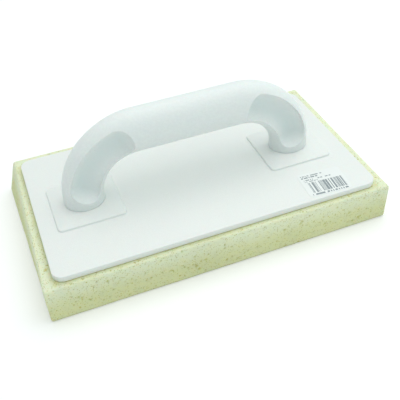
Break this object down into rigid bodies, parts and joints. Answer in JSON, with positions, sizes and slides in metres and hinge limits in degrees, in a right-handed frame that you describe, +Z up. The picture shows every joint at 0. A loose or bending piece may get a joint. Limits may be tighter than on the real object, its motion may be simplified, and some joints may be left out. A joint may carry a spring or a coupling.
{
  "type": "sponge grout float",
  "caption": "Hand float for washing grout: a foam block glued under a flat plastic plate, with a hollow D-shaped handle screwed on through square foot flanges.",
  "frame": {"origin": "middle of the foam's flat working face, which is the underside of the whole float", "axes": "+X along the float's length, towards the end that carries the label; +Y across it, away from the label's edge; +Z up, from the foam to the grip"},
  "size_m": [0.26, 0.15, 0.1032],
  "materials": {
    "foam": "dull cream open-cell polyurethane foam with darker pores",
    "glue": "thin dried contact glue",
    "plate_plastic": "white, fine matt grain",
    "handle_plastic": "white with a cool cast, fine spark-eroded grain, satin",
    "zinc_steel": "bright zinc plating",
    "label_paper": "smooth white label with grey print"
  },
  "bodies": {
    "root": {"sponge_block": "foam", "glue_film": "glue", "base_plate": "plate_plastic", "left_foot_flange": "plate_plastic", "right_foot_flange": "plate_plastic", "handle": "handle_plastic", "screw_left_outer": "zinc_steel", "screw_left_inner": "zinc_steel", "screw_right_inner": "zinc_steel", "screw_right_outer": "zinc_steel", "barcode_label": "label_paper"}
  },
  "joints": []
}
